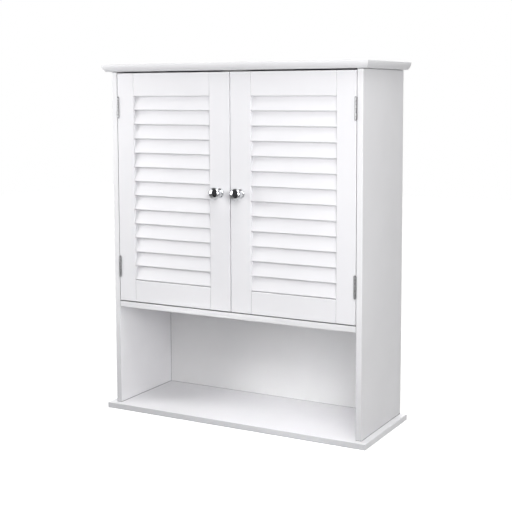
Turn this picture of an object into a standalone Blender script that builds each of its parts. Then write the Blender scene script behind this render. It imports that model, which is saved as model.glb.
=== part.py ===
"""Wall cabinet with two louvred doors over an open compartment, in painted board.

Metres, +Z up, +X to the right, +Y towards the wall. The origin lies on the wall, at the middle of the
hanging rail's back face. Doors are modelled shut; each is parented to an empty on its hinges' axis.
"""

import math

import bmesh
import bpy
from mathutils import Matrix, Vector

# Clearances between pieces, and how far a cutter runs past what it cuts
FIT = 0.0003
OVERRUN = 0.002

# Carcass
CARCASS_WIDTH = 0.568
CARCASS_DEPTH = 0.205
BOARD = 0.012
BOARD_EASE = 0.0008
NICHE_HEIGHT = 0.208
CUPBOARD_HEIGHT = 0.483
BASE_END_OVERHANG = 0.014
BASE_FRONT_OVERHANG = 0.0135

# Screws up through the base board into the side panels' ends, their heads sunk below the surface
BASE_SCREW_INSET = 0.040
BASE_SCREW_RADIUS = 0.0027
BASE_SCREW_HEAD_RADIUS = 0.0048
BASE_SCREW_HEAD_SINK = 0.003

# Crown board: its front and ends draw in towards the foot in one swelling curve, under a rounded arris
CROWN_THICK = 0.015
CROWN_END_OVERHANG = 0.016
CROWN_FRONT_OVERHANG = 0.015
CROWN_MOULD_IN = 0.007
CROWN_ROUND = 0.001
CROWN_CURVE_STEPS = 6
CROWN_ROUND_STEPS = 3

# Back panel and hanging rail
BACK_THICK = 0.003
BACK_RECESS = 0.008
BACK_HOUSING = 0.005
RAIL_HEIGHT = 0.070
WALL_HOLE_SPACING = 0.400
WALL_HOLE_RADIUS = 0.003
WALL_HOLE_SINK = 0.006

# Loose shelf and its pins
SHELF_RISE = 0.236
SHELF_SETBACK = 0.028
SHELF_BACK_CLEARANCE = 0.002
PIN_RADIUS = 0.0025
PIN_IN_PANEL = 0.0075
PIN_UNDER_SHELF = 0.008
PIN_COLLAR_RADIUS = 0.004
PIN_COLLAR_THICK = 0.0012
PIN_CHAMFER = 0.0005
PIN_FRONT_INSET = 0.045
PIN_BACK_INSET = 0.042
PIN_HOLE_STEP = 0.032
PIN_HOLE_ROWS = 3

# Doors
DOOR_THICK = 0.016
DOOR_HEAD_GAP = 0.003
DOOR_FOOT_GAP = 0.0018
DOOR_MIDDLE_GAP = 0.002
DOOR_SIDE_GAP = 0.0014
HINGE_STILE = 0.0401
MEETING_STILE = 0.046
TOP_RAIL = 0.0475
BOTTOM_RAIL = 0.0457
DOOR_EASE = 0.001
TENON_LENGTH = 0.008
TENON_THICK = 0.006
TENON_SHOULDER = 0.010

# Slats
SLAT_COUNT = 13
SLAT_THICK = 0.005
SLAT_TILT = math.radians(14.0)
SLAT_LAP = 0.005
SLAT_SETBACK = 0.001
SLAT_HOUSING = 0.005
SLAT_ROUND = 0.0013
SLAT_ROUND_STEPS = 2

# Butt hinges
HINGE_HEIGHT = 0.042
HINGE_TOP_OFFSET = 0.071
HINGE_FOOT_OFFSET = 0.0727
LEAF_THICK = 0.001
LEAF_DEPTH = 0.0135
LEAF_SPACE = 0.0003
LEAF_END_SPACE = 0.0012
KNUCKLES = 6
KNUCKLE_RADIUS = 0.00235
KNUCKLE_SPACE = 0.0004
HINGE_PIN_RADIUS = 0.0011
HINGE_PIN_PROUD = 0.0008
HINGE_TIP_RADIUS = 0.0017
HINGE_TIP_HEIGHT = 0.001
LEAF_SCREW_SINK = 0.0024
LEAF_SCREW_SPACING = 0.027

# Knobs, each with the screw that holds it through the stile
KNOB_INSET = 0.0228
KNOB_RISE = 0.2385
KNOB_LENGTH = 0.0275
KNOB_CAP_RADIUS = 0.0122
KNOB_CAP_FRONT = 0.006
KNOB_CAP_BACK = 0.0045
KNOB_NECK_RADIUS = 0.0046
KNOB_FOOT_RADIUS = 0.009
KNOB_FOOT_THICK = 0.0024
KNOB_FOOT_LIP = 0.0007
KNOB_SCREW_RADIUS = 0.002
KNOB_SCREW_HEAD_RADIUS = 0.004
KNOB_SCREW_HEAD_HEIGHT = 0.0024
KNOB_TURN_STEPS = 24
KNOB_ARC_STEPS = 5

# Magnetic catch and strike plates
CATCH_LENGTH = 0.036
CATCH_DEPTH = 0.013
CATCH_HEIGHT = 0.012
CATCH_EAR_LENGTH = 0.009
CATCH_EAR_THICK = 0.0022
CATCH_HOLE_RADIUS = 0.0016
CATCH_CORNER = 0.001
MAGNET_LENGTH = 0.013
MAGNET_HEIGHT = 0.007
MAGNET_PROUD = 0.0012
MAGNET_MIDDLE = 0.0095
STRIKE_LENGTH = 0.017
STRIKE_HEIGHT = 0.011
STRIKE_THICK = 0.001
STRIKE_HEAD_INSET = 0.0015
STRIKE_HOLE_RADIUS = 0.0015

# Facets round a hole, a knuckle, a shelf pin and a small dome, and how near turned points merge
HOLE_STEPS = 12
KNUCKLE_STEPS = 12
PIN_STEPS = 12
DOME_STEPS = 3
MERGE_DISTANCE = 0.00001

# Places that several pieces share, worked out from the sizes above
half_inside = CARCASS_WIDTH / 2 - BOARD
half_outside = CARCASS_WIDTH / 2
front = -CARCASS_DEPTH
back_panel_front = -(BACK_RECESS + BACK_THICK)

rail_top_above_base = BOARD + NICHE_HEIGHT + BOARD + CUPBOARD_HEIGHT - FIT
base_low = RAIL_HEIGHT / 2 - rail_top_above_base
base_top = base_low + BOARD
shelf_low = base_top + NICHE_HEIGHT
shelf_top = shelf_low + BOARD
crown_low = shelf_top + CUPBOARD_HEIGHT
wall_rail_low = -RAIL_HEIGHT / 2

frame_leaf_x = half_inside - FIT - LEAF_THICK / 2
door_leaf_x = frame_leaf_x - LEAF_THICK - LEAF_SPACE
leaf_seat_x = door_leaf_x - LEAF_THICK / 2 - FIT
pin_x = half_inside - FIT - KNUCKLE_RADIUS
pin_y = front - HINGE_PIN_PROUD
door_low = shelf_top + DOOR_FOOT_GAP
door_top = crown_low - DOOR_HEAD_GAP
door_back = front + DOOR_THICK
door_outer = half_inside - DOOR_SIDE_GAP
door_inner = DOOR_MIDDLE_GAP / 2
bottom_rail_top = door_low + BOTTOM_RAIL
top_rail_low = door_top - TOP_RAIL
hinge_middles = {"upper": door_top - HINGE_TOP_OFFSET, "lower": door_low + HINGE_FOOT_OFFSET}

loose_shelf_low = shelf_top + SHELF_RISE
pin_z = loose_shelf_low - FIT - PIN_RADIUS
pin_places = {"front": front + PIN_FRONT_INSET, "back": -PIN_BACK_INSET}

SIDES = {"left": -1, "right": 1}


# Helpers

def clear_scene():
    for item in list(bpy.data.objects):
        bpy.data.objects.remove(item, do_unlink=True)


def new_collection(name):
    collection = bpy.data.collections.new(name)
    bpy.context.scene.collection.children.link(collection)
    return collection


def new_material(name, color, roughness, metallic):
    material = bpy.data.materials.new(name)
    material.use_nodes = True
    shader = material.node_tree.nodes["Principled BSDF"]
    shader.inputs["Base Color"].default_value = (*color, 1.0)
    shader.inputs["Roughness"].default_value = roughness
    shader.inputs["Metallic"].default_value = metallic
    material.diffuse_color = (*color, 1.0)
    return material


def add_object(name, mesh, collection, middle=(0.0, 0.0, 0.0), parent=None):
    """Links an object whose origin is at the given world place, under the parent if there is one."""
    item = bpy.data.objects.new(name, mesh)
    collection.objects.link(item)
    item.location = Vector(middle)
    if parent:
        item.parent = parent
        item.location -= parent.location
    return item


def mesh_from(bm, name):
    mesh = bpy.data.meshes.new(name)
    bm.to_mesh(mesh)
    bm.free()
    return mesh


def block_mesh(name, size):
    """A box of the given size about its own middle."""
    bm = bmesh.new()
    bmesh.ops.create_cube(bm, size=1.0, matrix=Matrix.Diagonal((*size, 1.0)))
    return mesh_from(bm, name)


def block(name, xs, ys, zs, collection, parent=None):
    """A box between two places along each axis, given in either order."""
    lows = [min(pair) for pair in (xs, ys, zs)]
    highs = [max(pair) for pair in (xs, ys, zs)]
    size = [high - low for low, high in zip(lows, highs)]
    middle = [(high + low) / 2 for low, high in zip(lows, highs)]
    return add_object(name, block_mesh(name, size), collection, middle, parent)


def ease_edges(item, width, segments=2):
    bevel = item.modifiers.new("eased edges", "BEVEL")
    bevel.width = width
    bevel.segments = segments
    bevel.limit_method = "ANGLE"


def as_helper(item):
    item.hide_render = True
    item.display_type = "WIRE"
    return item


def combine(piece, helper, operation):
    boolean = piece.modifiers.new(helper.name, "BOOLEAN")
    boolean.operation = operation
    boolean.solver = "EXACT"
    boolean.object = helper


def cut(piece, *helpers):
    for helper in helpers:
        combine(piece, helper, "DIFFERENCE")


def join(piece, *helpers):
    for helper in helpers:
        combine(piece, helper, "UNION")


def cutting_block(name, xs, ys, zs, parent=None):
    return as_helper(block(name, xs, ys, zs, cutters, parent))


def round_mesh(name, stretches, steps, turn=None):
    """Closed cylinders or cones along Z: each stretch is (radius below, radius above, low, high, x, y)."""
    bm = bmesh.new()
    for low_radius, high_radius, low, high, x, y in stretches:
        place = Matrix.Translation((x, y, (low + high) / 2))
        if turn:
            place = turn @ place
        bmesh.ops.create_cone(bm, cap_ends=True, cap_tris=False, segments=steps,
                              radius1=low_radius, radius2=high_radius, depth=high - low, matrix=place)
    bmesh.ops.recalc_face_normals(bm, faces=bm.faces)
    return mesh_from(bm, name)


def side_turn(sign):
    """Turns a mesh made along Z to point along X, so that its X and Y become Y and Z."""
    return Matrix(((0, 0, sign, 0), (1, 0, 0, 0), (0, 1, 0, 0), (0, 0, 0, 1)))


def arc(middle_r, middle_z, reach_r, reach_z, start, end, steps):
    """Points (radius, height) on an ellipse between two angles, in degrees from the outward radius."""
    points = []
    for step in range(steps + 1):
        angle = math.radians(start + (end - start) * step / steps)
        points.append((middle_r + reach_r * math.cos(angle), middle_z + reach_z * math.sin(angle)))
    return points


def turned(name, profile, steps, collection, middle, parent=None, rotation=(0.0, 0.0, 0.0)):
    """A profile of (radius, height) points, top to bottom down its outer side, turned about its own Z."""
    bm = bmesh.new()
    corners = [bm.verts.new((radius, 0.0, height)) for radius, height in profile]
    for first, second in zip(corners, corners[1:]):
        bm.edges.new((first, second))
    item = add_object(name, mesh_from(bm, name), collection, middle, parent)
    item.rotation_euler = rotation
    screw = item.modifiers.new("turned", "SCREW")
    screw.steps = steps
    screw.render_steps = steps
    screw.use_merge_vertices = True
    screw.merge_threshold = MERGE_DISTANCE
    screw.use_smooth_shade = True
    return item


def outline_mesh(name, outline, thickness):
    """A flat outline of (y, z) points, made as thick as given along X and centred on it."""
    bm = bmesh.new()
    corners = [bm.verts.new((-thickness / 2, y, z)) for y, z in outline]
    face = bm.faces.new(corners)
    raised = bmesh.ops.extrude_face_region(bm, geom=[face])
    moved = [part for part in raised["geom"] if isinstance(part, bmesh.types.BMVert)]
    bmesh.ops.translate(bm, verts=moved, vec=(thickness, 0.0, 0.0))
    bmesh.ops.recalc_face_normals(bm, faces=bm.faces)
    return mesh_from(bm, name)


# Carcass boards

def crown_sections():
    """(height, how far the edge stands in) from the underside up: the swelling curve, then the arris."""
    curve_high = CROWN_THICK - CROWN_ROUND
    sections = []
    for step in range(CROWN_CURVE_STEPS + 1):
        part = 1 - step / CROWN_CURVE_STEPS
        sections.append((curve_high * (1 - part), CROWN_MOULD_IN * part * part))
    for step in range(CROWN_ROUND_STEPS):
        angle = math.radians(90.0) * (step + 1) / CROWN_ROUND_STEPS
        sections.append((curve_high + CROWN_ROUND * math.sin(angle), CROWN_ROUND * (1 - math.cos(angle))))
    return sections


def top_board():
    """The crown board, raised section by section: ends and front follow the moulding, the back is flat."""
    half = half_outside + CROWN_END_OVERHANG
    depth = CARCASS_DEPTH + CROWN_FRONT_OVERHANG
    bm = bmesh.new()
    rings = []
    for height, inset in crown_sections():
        corners = ((-half + inset, -depth + inset), (half - inset, -depth + inset), (half - inset, 0.0),
                   (-half + inset, 0.0))
        rings.append([bm.verts.new((x, y, crown_low + height)) for x, y in corners])
    for lower, upper in zip(rings, rings[1:]):
        for start in range(len(lower)):
            end = (start + 1) % len(lower)
            bm.faces.new((lower[start], lower[end], upper[end], upper[start]))
    bm.faces.new(reversed(rings[0]))
    bm.faces.new(rings[-1])
    return add_object("top_board", mesh_from(bm, "top_board"), parts)


def bottom_board():
    half = half_outside + BASE_END_OVERHANG
    board = block("bottom_board", (-half, half), (front - BASE_FRONT_OVERHANG, 0.0), (base_low, base_top),
                  parts)
    ease_edges(board, BOARD_EASE)
    half_groove = half_inside + BACK_HOUSING
    groove = cutting_block("bottom_board_groove", (-half_groove, half_groove),
                           (back_panel_front - FIT, -BACK_RECESS + FIT),
                           (base_top - BACK_HOUSING, base_top + OVERRUN))
    cut(board, groove)
    places = [(sign * (half_outside - BOARD / 2), y) for sign in SIDES.values()
              for y in (front + BASE_SCREW_INSET, -BASE_SCREW_INSET)]
    for name, radius, high in (("base_screw_drill", BASE_SCREW_RADIUS, BOARD + OVERRUN),
                               ("base_screw_sink", BASE_SCREW_HEAD_RADIUS, BASE_SCREW_HEAD_SINK)):
        stretches = [(radius, radius, -OVERRUN, high, x, y) for x, y in places]
        drill = add_object(name, round_mesh(name, stretches, HOLE_STEPS), cutters, (0.0, 0.0, base_low))
        cut(board, as_helper(drill))
    return board


def side_panel(side, sign):
    inside = sign * half_inside
    low = base_top + FIT
    high = crown_low - FIT
    panel = block(side + "_side_panel", (inside, sign * half_outside), (front, 0.0), (low, high), parts)
    ease_edges(panel, BOARD_EASE)
    groove = cutting_block(side + "_panel_groove", (inside - sign * OVERRUN, inside + sign * BACK_HOUSING),
                           (back_panel_front - FIT, -BACK_RECESS + FIT), (low - OVERRUN, high + OVERRUN))
    cut(panel, groove)
    stretches = []
    depth = PIN_IN_PANEL + FIT
    for y in pin_places.values():
        for row in range(PIN_HOLE_ROWS):
            z = pin_z + (row - (PIN_HOLE_ROWS - 1) / 2) * PIN_HOLE_STEP
            radius = PIN_RADIUS + FIT
            stretches.append((radius, radius, -OVERRUN, depth, y, z))
    name = side + "_pin_drill"
    mesh = round_mesh(name, stretches, HOLE_STEPS, side_turn(sign))
    cut(panel, as_helper(add_object(name, mesh, cutters, (inside, 0.0, 0.0))))
    return panel


def middle_shelf():
    half = half_inside - FIT
    shelf = block("middle_shelf", (-half, half), (front, back_panel_front - FIT), (shelf_low, shelf_top),
                  parts)
    ease_edges(shelf, BOARD_EASE)
    return shelf


def back_panel():
    half = half_inside + BACK_HOUSING - FIT
    low = base_top - BACK_HOUSING + FIT
    high = wall_rail_low + BACK_HOUSING - FIT
    return block("back_panel", (-half, half), (back_panel_front, -BACK_RECESS), (low, high), parts)


def hanging_rail():
    """The rail that takes the wall screws. The back panel's top edge lies in a rebate along its foot."""
    half = half_inside - FIT
    rail = block("hanging_rail", (-half, half), (-BOARD, 0.0), (wall_rail_low, -wall_rail_low), parts)
    ease_edges(rail, BOARD_EASE)
    rebate = cutting_block("hanging_rail_rebate", (-half - OVERRUN, half + OVERRUN),
                           (-BOARD - OVERRUN, -BACK_RECESS + FIT),
                           (wall_rail_low - OVERRUN, wall_rail_low + BACK_HOUSING))
    stretches = []
    for sign in SIDES.values():
        x = sign * WALL_HOLE_SPACING / 2
        stretches.append((WALL_HOLE_RADIUS, WALL_HOLE_RADIUS, -OVERRUN, BOARD + OVERRUN, x, 0.0))
    turn = Matrix.Rotation(math.radians(90.0), 4, "X")
    mesh = round_mesh("wall_hole_drill", stretches, HOLE_STEPS, turn)
    drill = add_object("wall_hole_drill", mesh, cutters)
    sink_depth = WALL_HOLE_SINK - WALL_HOLE_RADIUS
    stretches = [(WALL_HOLE_RADIUS - OVERRUN / 2, WALL_HOLE_SINK + OVERRUN, BOARD - sink_depth - OVERRUN / 2,
                  BOARD + OVERRUN, sign * WALL_HOLE_SPACING / 2, 0.0) for sign in SIDES.values()]
    sink = add_object("wall_hole_sink", round_mesh("wall_hole_sink", stretches, HOLE_STEPS, turn), cutters)
    cut(rail, rebate, as_helper(drill), as_helper(sink))
    return rail


def inner_shelf():
    half = half_inside - PIN_COLLAR_THICK - 2 * FIT
    shelf = block("inner_shelf", (-half, half),
                  (front + SHELF_SETBACK, back_panel_front - SHELF_BACK_CLEARANCE),
                  (loose_shelf_low, loose_shelf_low + BOARD), parts)
    ease_edges(shelf, BOARD_EASE)
    return shelf


def shelf_pin(side, sign, place, y):
    """A turned pin with a collar that meets the panel; its free end carries the shelf."""
    collar_top = FIT + PIN_COLLAR_THICK
    tip = collar_top + PIN_UNDER_SHELF
    root = -PIN_IN_PANEL
    profile = [(0.0, tip), (PIN_RADIUS - PIN_CHAMFER, tip), (PIN_RADIUS, tip - PIN_CHAMFER),
               (PIN_RADIUS, collar_top), (PIN_COLLAR_RADIUS - PIN_CHAMFER, collar_top),
               (PIN_COLLAR_RADIUS, collar_top - PIN_CHAMFER), (PIN_COLLAR_RADIUS, FIT), (PIN_RADIUS, FIT),
               (PIN_RADIUS, root + PIN_CHAMFER), (PIN_RADIUS - PIN_CHAMFER, root), (0.0, root)]
    turn = (0.0, math.radians(-90.0) * sign, 0.0)
    return turned(f"shelf_pin_{side}_{place}", profile, PIN_STEPS, parts, (sign * half_inside, y, pin_z),
                  rotation=turn)


# Magnetic catch

def door_catch():
    """A twin catch: a housing hung from the crown board by an ear at each end, a magnet facing each door."""
    top = crown_low - FIT
    face = door_back + FIT + STRIKE_THICK + FIT + MAGNET_PROUD
    half = CATCH_LENGTH / 2
    body = block("door_catch", (-half, half), (face, face + CATCH_DEPTH), (top - CATCH_HEIGHT, top), parts)
    ease_edges(body, CATCH_CORNER, 1)
    reach = half + CATCH_EAR_LENGTH
    ears = block("door_catch_ears", (-reach, reach),
                 (face + CATCH_CORNER, face + CATCH_DEPTH - CATCH_CORNER), (top - CATCH_EAR_THICK, top),
                 cutters)
    join(body, as_helper(ears))
    middle = top - CATCH_HEIGHT / 2 - CATCH_CORNER
    for side, sign in SIDES.items():
        x = sign * MAGNET_MIDDLE
        magnet = block(f"{side}_magnet", (x - MAGNET_LENGTH / 2, x + MAGNET_LENGTH / 2),
                       (face - MAGNET_PROUD, face + CATCH_DEPTH / 2),
                       (middle - MAGNET_HEIGHT / 2, middle + MAGNET_HEIGHT / 2), cutters)
        join(body, as_helper(magnet))
    stretches = []
    for sign in SIDES.values():
        x = sign * (half + CATCH_EAR_LENGTH / 2)
        stretches.append((CATCH_HOLE_RADIUS, CATCH_HOLE_RADIUS, top - CATCH_EAR_THICK - OVERRUN,
                          top + OVERRUN, x, face + CATCH_DEPTH / 2))
    drill = add_object("catch_drill", round_mesh("catch_drill", stretches, HOLE_STEPS), cutters)
    cut(body, as_helper(drill))
    return body


def strike_plate(side, sign, pivot):
    x = sign * MAGNET_MIDDLE
    top = door_top - STRIKE_HEAD_INSET
    low = door_back + FIT
    plate = block(side + "_strike_plate", (x - STRIKE_LENGTH / 2, x + STRIKE_LENGTH / 2),
                  (low, low + STRIKE_THICK), (top - STRIKE_HEIGHT, top), parts, pivot)
    turn = Matrix.Rotation(math.radians(90.0), 4, "X")
    stretches = [(STRIKE_HOLE_RADIUS, STRIKE_HOLE_RADIUS, -OVERRUN - STRIKE_THICK, OVERRUN, 0.0, 0.0)]
    name = side + "_strike_drill"
    drill = add_object(name, round_mesh(name, stretches, HOLE_STEPS, turn), cutters,
                       (x, low, top - STRIKE_HEIGHT / 2), pivot)
    cut(plate, as_helper(drill))
    return plate


# Butt hinges

def knuckle_spans():
    """The low and high of each knuckle about the hinge's middle, from the bottom up."""
    length = (HINGE_HEIGHT - (KNUCKLES - 1) * KNUCKLE_SPACE) / KNUCKLES
    lows = [-HINGE_HEIGHT / 2 + index * (length + KNUCKLE_SPACE) for index in range(KNUCKLES)]
    return [(low, low + length) for low in lows]


def leaf_outline(spans):
    """The comb of a leaf in (y, z) about the pin: a plate behind the knuckles, a tab for each of its own."""
    plate_front = KNUCKLE_RADIUS + FIT + FIT
    plate_back = HINGE_PIN_PROUD + LEAF_DEPTH
    half = HINGE_HEIGHT / 2
    outline = [(plate_back, -half), (plate_back, half), (plate_front, half)]
    for low, high in reversed(spans):
        tab_low = low + FIT
        tab_high = high - FIT
        outline.extend([(plate_front, tab_high), (0.0, tab_high), (0.0, tab_low), (plate_front, tab_low)])
    outline.append((plate_front, -half))
    return outline


def hinge_leaf(side, sign, level, member):
    """One leaf with its knuckles. The frame leaf's knuckles carry the pin; the door leaf's turn round it."""
    on_frame = member == "frame"
    pivot = None if on_frame else pivots[side]
    spans = knuckle_spans()[1::2] if on_frame else knuckle_spans()[0::2]
    middle_z = hinge_middles[level]
    outward = sign if on_frame else -sign
    x = sign * (frame_leaf_x if on_frame else door_leaf_x)
    name = f"{side}_{level}_{member}_leaf"
    plate = outline_mesh(name, leaf_outline(spans), LEAF_THICK)
    leaf = add_object(name, plate, parts, (x, pin_y, middle_z), pivot)
    axis = (sign * pin_x, pin_y, middle_z)
    if on_frame:
        knuckles = turned(name + "_knuckles", pin_profile(spans), KNUCKLE_STEPS, cutters, axis)
    else:
        stretches = [(KNUCKLE_RADIUS, KNUCKLE_RADIUS, low, high, 0.0, 0.0) for low, high in spans]
        mesh = round_mesh(name + "_knuckles", stretches, KNUCKLE_STEPS)
        knuckles = add_object(name + "_knuckles", mesh, cutters, axis, pivot)
    join(leaf, as_helper(knuckles))
    if not on_frame:
        bore_radius = HINGE_PIN_RADIUS + FIT
        reach = HINGE_HEIGHT / 2
        stretches = [(bore_radius, bore_radius, -reach, reach, 0.0, 0.0)]
        mesh = round_mesh(name + "_bore", stretches, KNUCKLE_STEPS)
        cut(leaf, as_helper(add_object(name + "_bore", mesh, cutters, axis, pivot)))
    sink_screw_holes(leaf, name, (x, pin_y, middle_z), outward, pivot)
    return leaf


def pin_profile(spans):
    """The pin with the frame leaf's knuckles on it and a domed head at each end, under the door's lowest."""
    end = -HINGE_HEIGHT / 2 - KNUCKLE_SPACE
    profile = arc(0.0, spans[-1][1], HINGE_TIP_RADIUS, HINGE_TIP_HEIGHT, 90.0, 0.0, DOME_STEPS)
    for index, (low, high) in enumerate(reversed(spans)):
        if index:
            profile.append((HINGE_PIN_RADIUS, high))
        profile.extend([(KNUCKLE_RADIUS, high), (KNUCKLE_RADIUS, low), (HINGE_PIN_RADIUS, low)])
    profile.append((HINGE_PIN_RADIUS, end))
    profile.extend(arc(0.0, end, HINGE_TIP_RADIUS, HINGE_TIP_HEIGHT, 0.0, -90.0, DOME_STEPS))
    return profile


def sink_screw_holes(leaf, name, middle, outward, pivot):
    """Countersunk screw holes midway across the plate, wide at the face that looks into the gap."""
    y = (KNUCKLE_RADIUS + FIT + FIT + HINGE_PIN_PROUD + LEAF_DEPTH) / 2
    reach = LEAF_THICK / 2 + FIT
    narrow = LEAF_SCREW_SINK - LEAF_THICK - FIT
    wide = LEAF_SCREW_SINK + FIT
    stretches = [(narrow, wide, -reach, reach, y, end * LEAF_SCREW_SPACING / 2) for end in SIDES.values()]
    name += "_sinks"
    mesh = round_mesh(name, stretches, HOLE_STEPS, side_turn(-outward))
    cut(leaf, as_helper(add_object(name, mesh, cutters, middle, pivot)))


# Knob

def knob_profile():
    """(radius, height from the door's face) from the front of the cap to the end of the fixing screw."""
    cap_middle = KNOB_LENGTH - KNOB_CAP_FRONT
    neck_high = cap_middle - KNOB_CAP_BACK
    neck_low = KNOB_FOOT_THICK
    lip = KNOB_FOOT_RADIUS - KNOB_FOOT_LIP
    hollow = lip - KNOB_NECK_RADIUS
    screw_end = -DOOR_THICK - FIT
    profile = arc(0.0, cap_middle, KNOB_CAP_RADIUS, KNOB_CAP_FRONT, 90.0, 0.0, KNOB_ARC_STEPS)
    under = arc(KNOB_NECK_RADIUS, cap_middle, KNOB_CAP_RADIUS - KNOB_NECK_RADIUS, KNOB_CAP_BACK, 0.0, -90.0,
                KNOB_ARC_STEPS)
    profile.extend(under[1:])
    profile.extend(arc(lip, neck_high, hollow, neck_high - neck_low, 180.0, 270.0, KNOB_ARC_STEPS)[1:])
    profile.append((KNOB_FOOT_RADIUS, KNOB_FOOT_THICK - KNOB_FOOT_LIP))
    profile.append((KNOB_FOOT_RADIUS, FIT))
    profile.append((KNOB_SCREW_RADIUS, FIT))
    profile.append((KNOB_SCREW_RADIUS, screw_end))
    profile.append((KNOB_SCREW_HEAD_RADIUS, screw_end))
    profile.extend(arc(0.0, screw_end - KNOB_SCREW_HEAD_HEIGHT / 2, KNOB_SCREW_HEAD_RADIUS,
                       KNOB_SCREW_HEAD_HEIGHT / 2, 0.0, -90.0, DOME_STEPS))
    return profile


def knob(side, sign, pivot):
    middle = (sign * (door_inner + KNOB_INSET), front, door_low + KNOB_RISE)
    item = turned(side + "_knob", knob_profile(), KNOB_TURN_STEPS, parts, middle, pivot,
                  (math.radians(90.0), 0.0, 0.0))
    return item


# Louvred doors

def slat_mesh(name, length, grow=0.0):
    """A slat of the given length, its rounded long edges along X, tilted back about its lower front edge.

    The origin is at the lower front edge, before rounding. A cutter for its housings is grown all round.
    """
    pitch = (top_rail_low - bottom_rail_top) / SLAT_COUNT
    width = (pitch + SLAT_LAP) / math.cos(SLAT_TILT)
    size = (length + 2 * grow, SLAT_THICK + 2 * grow, width + 2 * grow)
    bm = bmesh.new()
    bmesh.ops.create_cube(bm, size=1.0, matrix=Matrix.Diagonal((*size, 1.0)))
    long_edges = [edge for edge in bm.edges if abs(edge.verts[0].co.x - edge.verts[1].co.x) > length / 2]
    bmesh.ops.bevel(bm, geom=long_edges, offset=SLAT_ROUND + grow, segments=SLAT_ROUND_STEPS, profile=0.5,
                    affect="EDGES")
    bmesh.ops.translate(bm, verts=bm.verts, vec=(0.0, SLAT_THICK / 2, width / 2))
    bmesh.ops.rotate(bm, verts=bm.verts, matrix=Matrix.Rotation(-SLAT_TILT, 3, "X"))
    return mesh_from(bm, name)


def louvred_door(side, sign):
    """Stiles, rails and slats of one door. The slats end in housings in the stiles, the rails in tenons."""
    pivot = pivots[side]
    outer = sign * door_outer
    inner = sign * door_inner
    outer_seam = outer - sign * HINGE_STILE
    inner_seam = inner + sign * MEETING_STILE
    pitch = (top_rail_low - bottom_rail_top) / SLAT_COUNT

    hinge_stile = block(side + "_hinge_stile", (outer, outer_seam), (front, door_back), (door_low, door_top),
                        parts, pivot)
    meeting_stile = block(side + "_meeting_stile", (inner, inner_seam), (front, door_back),
                          (door_low, door_top), parts, pivot)
    ease_edges(hinge_stile, DOOR_EASE)
    ease_edges(meeting_stile, DOOR_EASE)

    # Slats share one mesh, and so do the housings that a row of cutters makes for them
    middle_x = (outer_seam + inner_seam) / 2
    housing_length = abs(outer_seam - inner_seam) + 2 * SLAT_HOUSING
    slat_length = housing_length - 2 * FIT
    first_z = bottom_rail_top + FIT + SLAT_THICK * math.sin(SLAT_TILT)
    first = (middle_x, front + SLAT_SETBACK, first_z)
    shared = slat_mesh(side + "_slat", slat_length)
    for index in range(SLAT_COUNT):
        place = (first[0], first[1], first_z + index * pitch)
        add_object(f"{side}_slat_{index + 1:02d}", shared, parts, place, pivot)
    name = side + "_slat_housings"
    housings = add_object(name, slat_mesh(name, slat_length, FIT), cutters, first, pivot)
    row = housings.modifiers.new("row", "ARRAY")
    row.count = SLAT_COUNT
    row.use_relative_offset = False
    row.use_constant_offset = True
    row.constant_offset_displace = (0.0, 0.0, pitch)
    as_helper(housings)
    cut(hinge_stile, housings)
    cut(meeting_stile, housings)

    # Rails between the stiles, each with a tenon at both ends
    thick_low = (front + door_back - TENON_THICK) / 2
    thick_high = thick_low + TENON_THICK
    rail_xs = (outer_seam - sign * FIT, inner_seam + sign * FIT)
    tenon_xs = (outer_seam + sign * TENON_LENGTH, inner_seam - sign * TENON_LENGTH)
    mortise_xs = (tenon_xs[0] + sign * FIT, tenon_xs[1] - sign * FIT)
    for level, low, high in (("top", top_rail_low, door_top), ("bottom", door_low, bottom_rail_top)):
        rail = block(f"{side}_{level}_rail", rail_xs, (front, door_back), (low, high), parts, pivot)
        ease_edges(rail, DOOR_EASE)
        tenon_low = low + TENON_SHOULDER
        tenon_high = high - TENON_SHOULDER
        tenon = block(f"{side}_{level}_tenon", tenon_xs, (thick_low, thick_high), (tenon_low, tenon_high),
                      cutters, pivot)
        join(rail, as_helper(tenon))
        mortise = cutting_block(f"{side}_{level}_mortise", mortise_xs, (thick_low - FIT, thick_high + FIT),
                                (tenon_low - FIT, tenon_high + FIT), pivot)
        cut(hinge_stile, mortise)
        cut(meeting_stile, mortise)
        if level == "top":
            cut(rail, housings)

    # Seats in the outer edge for the hinge leaves, each with a hollow down the corner for the knuckles
    for level, middle in hinge_middles.items():
        hollow = KNUCKLE_RADIUS + FIT
        reach = HINGE_HEIGHT / 2 + KNUCKLE_SPACE + HINGE_TIP_HEIGHT + FIT
        name = f"{side}_door_{level}_knuckle_hollow"
        mesh = round_mesh(name, [(hollow, hollow, -reach, reach, 0.0, 0.0)], KNUCKLE_STEPS)
        cut(hinge_stile, as_helper(add_object(name, mesh, cutters, (sign * pin_x, pin_y, middle), pivot)))
        reach = HINGE_HEIGHT / 2 + LEAF_END_SPACE
        seat = cutting_block(f"{side}_door_{level}_leaf_seat",
                             (outer + sign * OVERRUN, sign * leaf_seat_x),
                             (front - OVERRUN, front + LEAF_DEPTH + FIT), (middle - reach, middle + reach),
                             pivot)
        cut(hinge_stile, seat)

    # The knob's screw hole in the meeting stile
    radius = KNOB_SCREW_RADIUS + FIT
    turn = Matrix.Rotation(math.radians(90.0), 4, "X")
    stretches = [(radius, radius, -DOOR_THICK - OVERRUN, OVERRUN, 0.0, 0.0)]
    name = side + "_knob_drill"
    drill = add_object(name, round_mesh(name, stretches, HOLE_STEPS, turn), cutters,
                       (sign * (door_inner + KNOB_INSET), front, door_low + KNOB_RISE), pivot)
    cut(meeting_stile, as_helper(drill))


# Finishes, by the kind of piece that a name ends or starts with

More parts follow.
